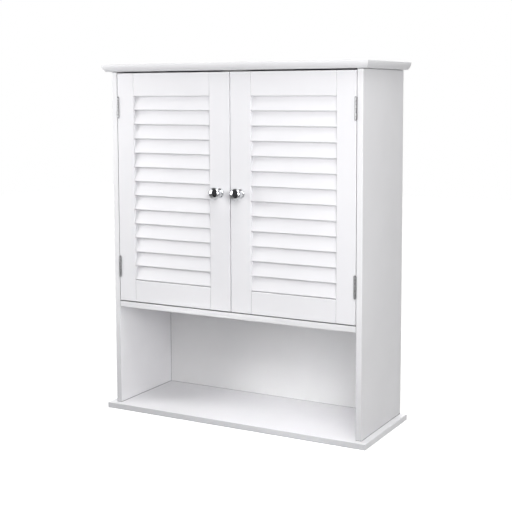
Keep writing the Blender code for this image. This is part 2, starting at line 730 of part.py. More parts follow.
def finish_for(name):
    if name.endswith("_knob"):
        return chrome
    if name.endswith("_leaf"):
        return hinge_steel
    if name.endswith("_strike_plate") or name.startswith("shelf_pin"):
        return bright_steel
    if name == "door_catch":
        return white_plastic
    if name == "back_panel":
        return white_hardboard
    return white_paint


# Build

clear_scene()
white_paint = new_material("white_paint", (0.86, 0.86, 0.85), 0.38, 0.0)
white_hardboard = new_material("white_hardboard", (0.84, 0.84, 0.83), 0.5, 0.0)
white_plastic = new_material("white_plastic", (0.82, 0.82, 0.8), 0.45, 0.0)
hinge_steel = new_material("hinge_steel", (0.52, 0.52, 0.53), 0.38, 1.0)
bright_steel = new_material("bright_steel", (0.72, 0.72, 0.73), 0.3, 1.0)
chrome = new_material("chrome", (0.8, 0.8, 0.82), 0.06, 1.0)
parts = new_collection("louvred_wall_cabinet")
cutters = new_collection("cutters")

pivots = {}
for side, sign in SIDES.items():
    pivot = bpy.data.objects.new(side + "_door_pivot", None)
    pivot.empty_display_size = HINGE_HEIGHT
    pivot.location = (sign * pin_x, pin_y, door_low)
    parts.objects.link(pivot)
    pivots[side] = pivot

top_board()
bottom_board()
middle_shelf()
back_panel()
hanging_rail()
inner_shelf()
door_catch()
for side, sign in SIDES.items():
    side_panel(side, sign)
    for place, y in pin_places.items():
        shelf_pin(side, sign, place, y)
    louvred_door(side, sign)
    knob(side, sign, pivots[side])
    strike_plate(side, sign, pivots[side])
    for level in hinge_middles:
        for member in ("frame", "door"):
            hinge_leaf(side, sign, level, member)

for item in parts.objects:
    if item.type == "MESH" and not item.data.materials:
        item.data.materials.append(finish_for(item.name))
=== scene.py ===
# %% [markdown]
# # A louvred wall cabinet
# A white bathroom cabinet that hangs on the wall: a box of 12 mm board under a moulded crown board, two
# louvred doors on butt hinges, and an open compartment under the doors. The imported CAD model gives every
# board, rail and slat at its real size. This lesson paints them, and models what an eye sees close up: the
# crown's moulding, the turned knobs, the hinges with their pins and screws, and the magnetic catch.

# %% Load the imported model
import math

import bmesh
import bpy
from mathutils import Matrix, Vector


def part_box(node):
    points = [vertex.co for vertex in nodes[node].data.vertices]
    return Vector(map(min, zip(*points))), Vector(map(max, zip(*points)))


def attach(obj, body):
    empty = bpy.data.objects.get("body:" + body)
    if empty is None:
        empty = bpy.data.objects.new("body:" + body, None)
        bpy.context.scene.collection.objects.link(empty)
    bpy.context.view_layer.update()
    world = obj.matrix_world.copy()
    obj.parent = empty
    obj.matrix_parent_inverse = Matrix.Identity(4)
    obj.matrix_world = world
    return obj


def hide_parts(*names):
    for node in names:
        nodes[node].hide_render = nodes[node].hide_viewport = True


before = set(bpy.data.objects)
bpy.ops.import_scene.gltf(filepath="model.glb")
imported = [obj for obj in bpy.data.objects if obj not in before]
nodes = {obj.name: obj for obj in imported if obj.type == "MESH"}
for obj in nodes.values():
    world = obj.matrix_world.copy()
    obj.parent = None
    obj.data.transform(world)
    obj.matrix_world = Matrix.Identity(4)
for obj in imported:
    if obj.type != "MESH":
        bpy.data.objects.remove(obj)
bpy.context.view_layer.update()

# %% [markdown]
# ## The camera
# The photo was taken from the right, with the lens near the level of the doors' top and tilted down by a few
# degrees. Its place was worked out beforehand from the corners of the boards, whose real distances the CAD
# model gives: one lens, one place and one turn put all of them within about a pixel of the photo. The small
# vertical shift keeps the upright edges as parallel as the photo has them.

# %% Camera
bpy.context.scene.view_settings.view_transform = "Standard"
turn = [math.radians(angle) for angle in (84.61392, 0.20627, 28.79627)]
bpy.ops.object.camera_add(location=(1.05912, -2.02387, -0.01148), rotation=turn)
camera = bpy.context.object
camera.name = "photo_camera"
camera.data.sensor_width = 36
camera.data.lens = 74.993
camera.data.shift_y = -0.12
bpy.context.scene.camera = camera
print("camera is", round(camera.location.length, 3), "m from the wall mark")

# %% [markdown]
# ## Nodes without a mouse
# A material is a small graph, and writing one node takes four or five lines each time. One helper adds a
# node, sets its properties and fills or links its sockets. A few short ones on top of it, for sums, ranges
# and places, keep the materials below readable.

# %% Node helpers
def add_node(tree, kind, inputs=None, **settings):
    """Adds a node and sets its properties, then fills each named input, or links it to an output socket."""
    made = tree.nodes.new(kind)
    for name, value in settings.items():
        setattr(made, name, value)
    for socket, value in (inputs or {}).items():
        if isinstance(value, bpy.types.NodeSocket):
            tree.links.new(value, made.inputs[socket])
        else:
            made.inputs[socket].default_value = value
    return made


def compute(tree, operation, *values):
    """What a Math node makes of its values, each a number or an output socket."""
    return add_node(tree, "ShaderNodeMath", dict(enumerate(values)), operation=operation).outputs[0]


def between(tree, value, low, high, start=0.0, end=1.0):
    """Maps a value from the range start to end onto the range low to high, and holds it there."""
    made = add_node(tree, "ShaderNodeMapRange",
                    {"Value": value, "From Min": start, "From Max": end, "To Min": low, "To Max": high})
    return made.outputs[0]


def place_on(tree, coordinate="Object"):
    """The place of a shaded point. On Object it is in metres, because every finished piece sits unturned
    and unscaled at the origin."""
    return add_node(tree, "ShaderNodeTexCoord").outputs[coordinate]


def parts_of(tree, vector):
    """The X, Y and Z outputs of a vector."""
    return add_node(tree, "ShaderNodeSeparateXYZ", {0: vector}).outputs


def new_finish(name):
    """A material, its node tree and its Principled shader."""
    finish = bpy.data.materials.new(name)
    finish.use_nodes = True
    return finish, finish.node_tree, finish.node_tree.nodes["Principled BSDF"]


print("node helpers ready")

# %% [markdown]
# ## Floor and background
# The photo's background is plain white, with no shadow near the cabinet, because it was taken clear of any
# wall. More light could whiten it, but the cabinet's own white would then burn out. So the world is white
# only for rays that look straight at it, and for reflections of the part that is behind the cabinet. All
# other rays, which light the cabinet or reflect the unlit front of the studio, find a much lower level. The
# floor lies well below the cabinet. It is a real pale surface, so it keeps the cabinet's shadow, and a glow
# of its own, seen in the same way, brings it up to white.

# %% World
def seen_directly(tree, coordinate, start, end):
    """1 for rays from the camera or through glass, and for reflections of what lies beyond end along Y."""
    path = add_node(tree, "ShaderNodeLightPath").outputs
    behind = between(tree, parts_of(tree, place_on(tree, coordinate))["Y"], 0.0, 1.0, start, end)
    straight = compute(tree, "MAXIMUM", path["Is Camera Ray"], path["Is Transmission Ray"])
    return compute(tree, "MAXIMUM", straight, compute(tree, "MULTIPLY", path["Is Glossy Ray"], behind))


WHITE = (1.0, 1.0, 1.0, 1.0)
WORLD_LEVEL, SKY_BEHIND = 0.1, (0.1, 0.35)
world = bpy.data.worlds.new("white_studio")
bpy.context.scene.world = world
world.use_nodes = True
sky = world.node_tree
level = between(sky, seen_directly(sky, "Generated", *SKY_BEHIND), WORLD_LEVEL, 1.0)
sky.nodes["Background"].inputs["Color"].default_value = WHITE
sky.links.new(level, sky.nodes["Background"].inputs["Strength"])
print("world level:", WORLD_LEVEL)

# %% Floor
FLOOR_HEIGHT, FLOOR_SIZE, FLOOR_MIDDLE, FLOOR_GLOW, FLOOR_BEHIND = -1.25, 16, 2, 0.96, (-2.4, -1.8)
bpy.ops.mesh.primitive_plane_add(size=FLOOR_SIZE, location=(0, FLOOR_MIDDLE, FLOOR_HEIGHT))
floor = bpy.context.object
floor.name = "studio_floor"
floor_paper, paper, sheet = new_finish("floor_paper")
sheet.inputs["Base Color"].default_value = (0.85, 0.85, 0.85, 1.0)
sheet.inputs["Roughness"].default_value = 0.9
sheet.inputs["Emission Color"].default_value = WHITE
glow = compute(paper, "MULTIPLY", seen_directly(paper, "Object", *FLOOR_BEHIND), FLOOR_GLOW)
paper.links.new(glow, sheet.inputs["Emission Strength"])
floor.data.materials.append(floor_paper)
print("floor at", FLOOR_HEIGHT, "m")

# %% [markdown]
# ## Soft light
# The photo's own tones say where its light came from. The doors' faces fade from top to bottom, so the main
# box was near, and level with their top. The right side is only a step darker, so that box stood to the
# right. The faces that look up near the foot are brighter than the fronts there, which takes a second box
# high up. The open compartment is dark at its left end and light elsewhere, so a third one shone in from the
# left, and two narrow strips with grids fill the compartment alone. The powers come from a fit: the cabinet
# was rendered under one lamp at a time, and the sum was matched to the tones of some eighty places in the
# photo. A last box lights the back, which the photo never shows.

# %% Lamps
CABINET_MIDDLE = Vector((0.0, -0.1, -0.31))
STRIP_DISTANCE, STRIP_WIDTH = 1.2, 0.12


def aimed(azimuth, elevation, distance, aim=CABINET_MIDDLE):
    """A place and turn that look at a point. Azimuth 0 is straight in front, 90 is to the right."""
    around, up = math.radians(azimuth), math.radians(elevation)
    away = Vector((math.sin(around) * math.cos(up), -math.cos(around) * math.cos(up), math.sin(up)))
    return {"location": aim + distance * away, "rotation": away.to_track_quat("Z", "Y").to_euler()}


def soft_box(name, azimuth, elevation, distance, size, power, aim=CABINET_MIDDLE):
    """A square area lamp aimed at a point."""
    bpy.ops.object.light_add(type="AREA", **aimed(azimuth, elevation, distance, aim))
    lamp = bpy.context.object
    lamp.name = name
    lamp.data.size = size
    lamp.data.energy = power
    return lamp


def strip_box(name, azimuth, elevation, length, spread, power, aim):
    """A low lamp whose grid lets its light out within a narrow spread, in degrees."""
    lamp = soft_box(name, azimuth, elevation, STRIP_DISTANCE, length, power, aim)
    lamp.data.shape = "RECTANGLE"
    lamp.data.size_y = STRIP_WIDTH
    lamp.data.spread = math.radians(spread)


soft_box("key_box", azimuth=40, elevation=15, distance=1.4, size=0.7, power=11.3)
soft_box("left_box", azimuth=-60, elevation=15, distance=1.4, size=0.7, power=10.7)
soft_box("high_box", azimuth=50, elevation=60, distance=2.4, size=1.2, power=25.5)
soft_box("back_box", azimuth=190, elevation=25, distance=2.6, size=1.6, power=16)
strip_box("high_strip", azimuth=-22, elevation=36, length=0.36, spread=15, power=0.068,
          aim=Vector((0.08, -0.1, -0.68)))
strip_box("low_strip", azimuth=-45, elevation=0, length=0.25, spread=12, power=0.016,
          aim=Vector((0.19, -0.03, -0.54)))

# %% [markdown]
# ## Dark side of the studio
# The chrome knobs in the photo show a nearly black patch between two bright boxes: the unlit front of the
# room. Here a dark round backdrop stands there. Only reflections see it, so it takes no light from the
# cabinet and stays out of every view.

# %% Dark backdrop
bpy.ops.mesh.primitive_circle_add(vertices=64, radius=1, fill_type="NGON", **aimed(-11, 5, 1.3))
dark_side = bpy.context.object
dark_side.name = "dark_backdrop"
dark_side.scale = (0.6, 1.15, 1.0)
dark_cloth, _, cloth = new_finish("dark_cloth")
cloth.inputs["Base Color"].default_value = (0.045, 0.045, 0.048, 1.0)
cloth.inputs["Roughness"].default_value = 0.95
dark_side.data.materials.append(dark_cloth)
for rays in ("camera", "diffuse", "transmission", "volume_scatter", "shadow"):
    setattr(dark_side, "visible_" + rays, False)
print("backdrop:", [round(part, 2) for part in dark_side.dimensions[:2]], "m")

# %% [markdown]
# ## Paint on board
# The carcass is fibreboard with a sprayed satin lacquer. Close up such a coat isn't flat: it has a very
# fine orange-peel of dips a few millimetres across, its gloss varies a little from place to place, and the
# lacquer thins and dulls where it bends over an edge. One picture of paint for all of it would stretch or
# repeat. Noise on Object coordinates keeps its true size on every piece instead. One group makes the coat and
# one finds the edges, so that boards, door frames and slats can share them with values of their own.

# %% Sprayed coat group
def new_group(name, inputs, outputs):
    """A shader node group with named sockets, each input with the value that it starts with."""
    group = bpy.data.node_groups.new(name, "ShaderNodeTree")
    for label, value in inputs.items():
        kind = "NodeSocketColor" if hasattr(value, "__len__") else "NodeSocketFloat"
        group.interface.new_socket(name=label, in_out="INPUT", socket_type=kind).default_value = value
    for label, kind in outputs.items():
        group.interface.new_socket(name=label, in_out="OUTPUT", socket_type="NodeSocket" + kind)
    return group, group.nodes.new("NodeGroupInput").outputs, group.nodes.new("NodeGroupOutput")


def mix_colors(tree, share, first, second):
    """A colour between two others, each a colour or an output socket."""
    made = add_node(tree, "ShaderNodeMix", {0: share, 6: first, 7: second}, data_type="RGBA")
    return made.outputs[2]


def noise(tree, place, across, detail=2.0, roughness=0.5):
    """Noise whose features are about as far across as given, in metres, by a number or an output socket."""
    scale = compute(tree, "DIVIDE", 1.0, across) if isinstance(across, bpy.types.NodeSocket) else 1.0 / across
    return add_node(tree, "ShaderNodeTexNoise", {"Vector": place, "Scale": scale, "Detail": detail,
                                                 "Roughness": roughness}).outputs["Fac"]


coat, given, gives = new_group(
    "sprayed_coat",
    {"Paint": (0.86, 0.86, 0.88, 1.0), "Shade": (0.82, 0.82, 0.83, 1.0), "Gloss Low": 0.3, "Gloss High": 0.4,
     "Dimple Size": 0.0025},
    {"Color": "Color", "Roughness": "Float", "Height": "Float"})
place = place_on(coat)
clouds = between(coat, noise(coat, place, 0.09, 3.0), 0.0, 1.0, 0.35, 0.65)
coat.links.new(mix_colors(coat, clouds, given["Paint"], given["Shade"]), gives.inputs["Color"])
patches = between(coat, noise(coat, place, 0.02, 4.0), 0.0, 1.0, 0.3, 0.7)
coat.links.new(between(coat, patches, given["Gloss Low"], given["Gloss High"]), gives.inputs["Roughness"])
coat.links.new(noise(coat, place, given["Dimple Size"], 1.0), gives.inputs["Height"])
print("group:", coat.name)

# %% Edge group
edges, given, gives = new_group("eased_edge", {"Radius": 0.0008}, {"Normal": "Vector", "Edge": "Float"})
rounded = add_node(edges, "ShaderNodeBevel", {"Radius": given["Radius"]}, samples=6)
flat = add_node(edges, "ShaderNodeNewGeometry").outputs["True Normal"]
lean = add_node(edges, "ShaderNodeVectorMath", {0: rounded.outputs[0], 1: flat}, operation="DOT_PRODUCT")
edges.links.new(rounded.outputs[0], gives.inputs["Normal"])
edges.links.new(between(edges, lean.outputs["Value"], 1.0, 0.0, 0.8, 0.99), gives.inputs["Edge"])
print("group:", edges.name)

# %% [markdown]
# Shade gathers where two pieces meet, and a third group paints it into the colour. It finds such places by
# how much of the near surroundings is closed in, and darkens the colour there over a couple of millimetres.
# The narrow gap where the two doors meet lies deeper in shade, so that place has a strength of its own.

# %% Painted crevice shade group
crevice_shade, given, gives = new_group(
    "crevice_shade", {"Surface": (0.86, 0.86, 0.88, 1.0), "Deep": (0.06, 0.06, 0.065, 1.0), "Strength": 0.85,
                "Middle": 0.85, "Reach": 0.002}, {"Color": "Color"})
near = add_node(crevice_shade, "ShaderNodeAmbientOcclusion", {"Distance": given["Reach"]}, samples=6)
aside = compute(crevice_shade, "ABSOLUTE", parts_of(crevice_shade, place_on(crevice_shade))["X"])
strength = between(crevice_shade, aside, given["Middle"], given["Strength"], 0.0015, 0.0025)
closed = between(crevice_shade, near.outputs["AO"], strength, 0.0, 0.25, 0.85)
crevice_shade.links.new(mix_colors(crevice_shade, closed, given["Surface"], given["Deep"]), gives.inputs["Color"])
print("group:", crevice_shade.name)

# %% [markdown]
# The crown's moulding darkens towards its foot, and the front edges of the boards towards the base, because
# less light reaches the faces that look forward there. A fourth group paints that shade into the colour: it
# finds the faces that look forward, or to either side if asked, and darkens them with height.

# %% Painted low shade group
low_shade, given, gives = new_group(
    "painted_low_shade", {"Surface": (0.86, 0.86, 0.88, 1.0), "Shaded": (0.62, 0.62, 0.64, 1.0), "Sides": 0.0,
                 "Start": -0.4, "End": -0.68}, {"Color": "Color"})
facing = parts_of(low_shade, add_node(low_shade, "ShaderNodeNewGeometry").outputs["True Normal"])
sideways = compute(low_shade, "MULTIPLY", compute(low_shade, "ABSOLUTE", facing["X"]), given["Sides"])
forward = compute(low_shade, "MULTIPLY", facing["Y"], -1.0)
on_edge = compute(low_shade, "GREATER_THAN", compute(low_shade, "MAXIMUM", forward, sideways), 0.5)
lower = between(low_shade, parts_of(low_shade, place_on(low_shade))["Z"], 0.0, 1.0, given["Start"], given["End"])
shade_share = compute(low_shade, "MULTIPLY", on_edge, lower)
low_shade.links.new(mix_colors(low_shade, shade_share, given["Surface"], given["Shaded"]), gives.inputs["Color"])
print("group:", low_shade.name)

# %% [markdown]
# One more group makes what the paint leaves bare. The boards' rear edges lie on the wall and were never
# painted: pressed fibre shows there. The thin back panel is white in front and bare hardboard behind,
# where the wire screen of the press leaves its weave. The photo doesn't show these, so they are a guess
# from how such furniture is made.

# %% Pressed fibre group
def along(tree, place, stretch):
    """The place with each axis scaled, so that a pattern on it gets longer where the scale is small."""
    return add_node(tree, "ShaderNodeMapping", {"Vector": place, "Scale": stretch}).outputs[0]


fibre, given, gives = new_group(
    "pressed_fibre", {"Light": (0.6, 0.47, 0.33, 1.0), "Dark": (0.47, 0.35, 0.235, 1.0), "Screen": 0.0},
    {"Color": "Color", "Height": "Float"})
place = place_on(fibre)
strands = noise(fibre, along(fibre, place, (1.0, 1.0, 0.25)), 0.0012, 6.0, 0.7)
fibre.links.new(mix_colors(fibre, between(fibre, strands, 0.0, 1.0, 0.3, 0.7), given["Light"], given["Dark"]),
                gives.inputs["Color"])
weave = add_node(fibre, "ShaderNodeTexVoronoi", {"Vector": place, "Scale": 620.0, "Randomness": 0.12},
                 feature="F1").outputs["Distance"]
screen = compute(fibre, "MULTIPLY", weave, given["Screen"])
fibre.links.new(compute(fibre, "ADD", strands, screen), gives.inputs["Height"])
print("group:", fibre.name)

# %% [markdown]
# ## White finishes
# Boards, door frames and slats share one recipe. It places the coat and the edges, and where a piece needs
# them the painted shade on low forward faces, the painted shade in crevices and the bare fibre. The coat's
# height goes over the eased edges as a very shallow bump. A bump height is a real length here, some
# hundredths of a millimetre, so the paint stays paint at any distance.

# %% Placing groups and bumps
def place_group(tree, group, **values):
    """Places a node group and gives its outputs. A _ in an input's name stands for a space."""
    inputs = {name.replace("_", " "): value for name, value in values.items()}
    return add_node(tree, "ShaderNodeGroup", inputs, node_tree=group).outputs


def bump(tree, shader, height, depth, normal=None):
    """Feeds the shader's Normal from a height, so many metres deep, over an earlier normal if given."""
    inputs = {"Height": height, "Distance": depth}
    if normal:
        inputs["Normal"] = normal
    tree.links.new(add_node(tree, "ShaderNodeBump", inputs).outputs[0], shader.inputs["Normal"])


print("groups to place:", [group.name for group in (coat, edges, crevice_shade, low_shade, fibre)])

# %% Paint recipe
WORN, WORN_ROUGHER, BARE_ROUGHNESS = 0.93, 0.12, 0.85


def white_finish(name, paint, shade, gloss, dimples, depth, bare_from=None, screen=0.0, shade_in_crevices=None,
                 edge_shade=None, fibres=None):
    """Painted board. Beyond bare_from, a place along Y, its fibre shows. edge_shade paints shade into its
    forward faces, darker towards the bottom, and the crevice values paint shade where it is closed in.
    """
    finish, tree, shader = new_finish(name)
    coated = place_group(tree, coat, Paint=(*paint, 1.0), Shade=(*shade, 1.0), Gloss_Low=gloss[0],
                         Gloss_High=gloss[1], Dimple_Size=dimples)
    edge = place_group(tree, edges)
    color = mix_colors(tree, edge["Edge"], coated["Color"], (*[WORN * part for part in shade], 1.0))
    roughness = between(tree, edge["Edge"], coated["Roughness"], gloss[1] + WORN_ROUGHER)
    height = coated["Height"]
    # Painted shade: forward faces grow darker towards the bottom.
    if edge_shade is not None:
        color = place_group(tree, low_shade, Surface=color, **edge_shade)["Color"]
    # Painted shade: the colour darkens where the piece is closed in, in gaps and inner corners.
    if shade_in_crevices is not None:
        color = place_group(tree, crevice_shade, Surface=color, **shade_in_crevices)["Color"]
    if bare_from is not None:
        bare = compute(tree, "GREATER_THAN", parts_of(tree, place_on(tree))["Y"], bare_from)
        raw = place_group(tree, fibre, Screen=screen, **(fibres or {}))
        color = mix_colors(tree, bare, color, raw["Color"])
        roughness = between(tree, bare, roughness, BARE_ROUGHNESS)
        height = between(tree, bare, height, raw["Height"])
    tree.links.new(color, shader.inputs["Base Color"])
    tree.links.new(roughness, shader.inputs["Roughness"])
    bump(tree, shader, height, depth, edge["Normal"])
    return finish


print("recipe ready")

# %% The painted nodes
BOARD_REAR, PANEL_REAR = -0.0005, -0.0095
# Painted shade reaches this far from the crevices of the shelf and the crown.
WIDE_SHADE = {"Reach": 0.006}
board_look = {"paint": (0.865, 0.861, 0.879), "shade": (0.845, 0.841, 0.859), "gloss": (0.34, 0.44),
              "dimples": 0.0026, "depth": 0.00003, "bare_from": BOARD_REAR}
board_paint = white_finish("board_paint", **board_look, shade_in_crevices={}, edge_shade={})
shelf_paint = white_finish("shelf_paint", **board_look, shade_in_crevices=WIDE_SHADE, edge_shade={})
# Painted shade: the crown's moulding and ends grow darker towards its foot.
crown_paint = white_finish("crown_paint", **board_look, shade_in_crevices=WIDE_SHADE,
                           edge_shade={"Shaded": (0.69, 0.69, 0.71, 1.0), "Sides": 1.0, "Start": 0.047,
                                       "End": 0.036})
door_look = {"paint": (0.865, 0.86, 0.885), "shade": (0.85, 0.845, 0.87), "gloss": (0.3, 0.4),
             "dimples": 0.0022, "depth": 0.00002}
# Painted shade: strong in the gap where the doors meet, faint at the frames' other seams.
frame_paint = white_finish("frame_paint", **door_look, shade_in_crevices={"Strength": 0.2, "Middle": 0.98})
slat_paint = white_finish("slat_paint", **door_look)
panel_white = white_finish("panel_white", paint=(0.855, 0.852, 0.856), shade=(0.835, 0.832, 0.836),
                           gloss=(0.42, 0.5), dimples=0.0014, depth=0.00004, bare_from=PANEL_REAR, screen=1.4,
                           shade_in_crevices={}, fibres={"Light": (0.42, 0.29, 0.185, 1.0),
                                                "Dark": (0.29, 0.19, 0.115, 1.0)})


def paint_node(name, finish):
    """Gives a CAD node one of the finishes here."""
    nodes[name].data.materials.clear()
    nodes[name].data.materials.append(finish)


BOARDS = ("bottom_board", "left_side_panel", "right_side_panel", "hanging_rail", "inner_shelf")
for name in BOARDS:
    paint_node(name, board_paint)
paint_node("middle_shelf", shelf_paint)
paint_node("back_panel", panel_white)
door_nodes = [name for name in nodes if name.endswith("_stile") or name.endswith("_rail") or "_slat_" in name]
for name in door_nodes:
    if name not in BOARDS:
        paint_node(name, slat_paint if "_slat_" in name else frame_paint)
print("painted:", len(BOARDS), "boards and", len(door_nodes) - 1, "door nodes")

# %% [markdown]
# ## Metal and plastic
# The knobs are chrome over zinc, near enough a mirror, with hair-fine wiping marks. The hinges are thin
# steel plated dull grey, so their gloss is broken by fine drawing lines. Screws, shelf pins and strike
# plates are bright steel. The catch's housing is moulded in a white plastic with a faint grain. The lines
# could be drawn in a picture, but on pieces this small they would blur. Noise that is drawn out along Z
# makes them as fine as they are, and one group gives all the metals their gloss and their lines' height.

# %% Scratch group
scratch, given, gives = new_group(
    "hair_scratches", {"Line Length": 0.02, "Line Width": 0.0002, "Smooth": 0.05, "Rough": 0.12},
    {"Roughness": "Float", "Height": "Float"})
shape = add_node(scratch, "ShaderNodeCombineXYZ", {
    "X": 1.0, "Y": 1.0, "Z": compute(scratch, "DIVIDE", given["Line Width"], given["Line Length"])})
drawn = add_node(scratch, "ShaderNodeVectorMath", {0: place_on(scratch), 1: shape.outputs[0]},
                 operation="MULTIPLY")
lines = noise(scratch, drawn.outputs[0], given["Line Width"], 3.0, 0.6)
sharp = between(scratch, lines, 0.0, 1.0, 0.4, 0.7)
scratch.links.new(between(scratch, sharp, given["Smooth"], given["Rough"]), gives.inputs["Roughness"])
scratch.links.new(sharp, gives.inputs["Height"])
print("group:", scratch.name)

# %% Metals
def metal_finish(name, light, dark, line, gloss, depth, shade_in_crevices=None, edge_tint=1.0):
    """Plated metal: two close tones in soft clouds, under lines along Z of the given length and width."""
    finish, tree, shader = new_finish(name)
    clouds = between(tree, noise(tree, place_on(tree), 0.004, 4.0), 0.0, 1.0, 0.35, 0.65)
    tone = mix_colors(tree, clouds, (*light, 1.0), (*dark, 1.0))
    marks = place_group(tree, scratch, Line_Length=line[0], Line_Width=line[1], Smooth=gloss[0],
                        Rough=gloss[1])
    # Painted shade: the tone darkens towards black where the metal is closed in.
    if shade_in_crevices is not None:
        tone = place_group(tree, crevice_shade, Surface=tone, **shade_in_crevices)["Color"]
    tree.links.new(tone, shader.inputs["Base Color"])
    tree.links.new(marks["Roughness"], shader.inputs["Roughness"])
    shader.inputs["Metallic"].default_value = 1.0
    shader.inputs["Specular Tint"].default_value = (edge_tint, edge_tint, edge_tint, 1.0)
    bump(tree, shader, marks["Height"], depth)
    return finish


# Painted shade: knobs, hinges and pins turn nearly black where they are closed in, as at a knob's foot.
metal_shade = {"Strength": 0.9, "Deep": (0.02, 0.02, 0.02, 1.0)}
knob_chrome = metal_finish("knob_chrome", light=(0.80, 0.81, 0.83), dark=(0.76, 0.77, 0.79),
                           gloss=(0.03, 0.08), line=(0.004, 0.00025), depth=0.0000005, shade_in_crevices=metal_shade,
                           edge_tint=0.1)
hinge_plate = metal_finish("hinge_plate", light=(0.51, 0.51, 0.52), dark=(0.43, 0.43, 0.44),
                           gloss=(0.38, 0.5), line=(0.006, 0.00018), depth=0.000004, shade_in_crevices=metal_shade)
# Painted shade: the pins' steel is much darker than the leaves, so the barrel's ends look as dark as shade.
shaded_pin_steel = metal_finish("shaded_pin_steel", light=(0.22, 0.22, 0.23), dark=(0.15, 0.15, 0.16),
                         gloss=(0.35, 0.5), line=(0.003, 0.00015), depth=0.000002, shade_in_crevices=metal_shade)
bright_steel = metal_finish("bright_steel", light=(0.74, 0.74, 0.74), dark=(0.66, 0.66, 0.67),
                            gloss=(0.18, 0.3), line=(0.003, 0.00015), depth=0.000002)
print("metals:", [finish.name for finish in (knob_chrome, hinge_plate, shaded_pin_steel, bright_steel)])

# %% Plastics
def plastic_finish(name, light, dark, grain, depth, roughness):
    """Moulded plastic with the fine grain of its tool."""
    finish, tree, shader = new_finish(name)
    place = place_on(tree)
    tone = mix_colors(tree, noise(tree, place, 0.006, 3.0), (*light, 1.0), (*dark, 1.0))
    tree.links.new(tone, shader.inputs["Base Color"])
    gloss = between(tree, noise(tree, place, grain * 3, 2.0), roughness - 0.06, roughness + 0.06, 0.3, 0.7)
    tree.links.new(gloss, shader.inputs["Roughness"])
    bump(tree, shader, noise(tree, place, grain), depth)
    return finish


catch_plastic = plastic_finish("catch_plastic", light=(0.84, 0.84, 0.82), dark=(0.8, 0.8, 0.78),
                               grain=0.0005, depth=0.00002, roughness=0.42)
magnet_black = plastic_finish("magnet_black", light=(0.055, 0.052, 0.05), dark=(0.035, 0.034, 0.034),
                              grain=0.0003, depth=0.00003, roughness=0.55)
print("plastics:", catch_plastic.name, "and", magnet_black.name)

# %% [markdown]
# ## Modelling by operators
# Every new piece below starts as one of Blender's primitives and is shaped in edit mode, as by hand. An
# operator works on all that is selected, so each piece starts with nothing selected, and faces are picked
# by a test of their place or direction.

# %% Selecting and closing
def select_only(*pieces):
    """Leaves edit mode and selects these objects alone, the first as the active one."""
    if bpy.context.mode != "OBJECT":
        bpy.ops.object.mode_set(mode="OBJECT")
    bpy.ops.object.select_all(action="DESELECT")
    for piece in pieces:
        piece.select_set(True)
    if pieces:
        bpy.context.view_layer.objects.active = pieces[0]


def edit(piece):
    """Opens a piece in edit mode, with all of it selected."""
    select_only(piece)
    bpy.ops.object.mode_set(mode="EDIT")
    bpy.ops.mesh.select_all(action="SELECT")


def close_shape(piece):
    """Merges doubles, turns every face outwards and leaves edit mode."""
    edit(piece)
    bpy.ops.mesh.remove_doubles(threshold=0.000001)
    bpy.ops.mesh.normals_make_consistent(inside=False)
    bpy.ops.object.mode_set(mode="OBJECT")


def smooth(piece, degrees=30):
    """Shades a piece smooth, except over edges that bend by more than this."""
    select_only(piece)
    bpy.ops.object.shade_smooth_by_angle(angle=math.radians(degrees))


# %% [markdown]
# ## Turned pieces
# Knobs, screws, pins and caps are all turned, so one helper makes them, as a lathe would. It starts with a
# small disc and extrudes it from height to height, scaling each new ring to its radius. Spinning a profile
# would do as well, but this leaves a closed end at once and needs no merging at the axis.

# %% Lathe
def turn_piece(stations, sides):
    """A closed piece turned about Z, through (height, radius) stations from one end to the other."""
    height, radius = stations[0]
    select_only()
    bpy.ops.mesh.primitive_circle_add(vertices=sides, radius=radius, fill_type="NGON",
                                      location=(0, 0, height))
    piece = bpy.context.object
    edit(piece)
    for new_height, new_radius in stations[1:]:
        bpy.ops.mesh.extrude_region_move(TRANSFORM_OT_translate={"value": (0, 0, new_height - height)})
        bpy.ops.transform.resize(value=(new_radius / radius, new_radius / radius, 1),
                                 center_override=(0, 0, new_height))
        height, radius = new_height, new_radius
    close_shape(piece)
    smooth(piece, 32)
    return piece


def quarter(middle_height, middle_radius, reach_height, reach_radius, start, end, steps):
    """Stations on an ellipse, between two angles from straight out to the side, in degrees."""
    stations = []
    for step in range(steps + 1):
        angle = math.radians(start + (end - start) * step / steps)
        stations.append((middle_height + reach_height * math.sin(angle),
                         middle_radius + reach_radius * math.cos(angle)))
    return stations


print("lathe ready")

# %% [markdown]
# Screws here have a cross in their head. It is cut by two tapered blades, by a Boolean modifier: the same
# modifier drills holes and joins plates to knuckles further on.

# %% Cutting a cross recess
def discard(*pieces):
    """Removes pieces that have done their work as tools or as models for copies."""
    for piece in pieces:
        bpy.data.objects.remove(piece)


def carve(piece, tool, operation="DIFFERENCE"):
    """Cuts a tool's shape out of a piece, or joins the two, and removes the tool."""
    select_only(piece)
    modifier = piece.modifiers.new("carve", "BOOLEAN")
    modifier.operation, modifier.solver, modifier.object = operation, "EXACT", tool
    bpy.ops.object.modifier_apply(modifier=modifier.name)
    discard(tool)


BLADE_TAPER = (0.45, 0.6, 1)


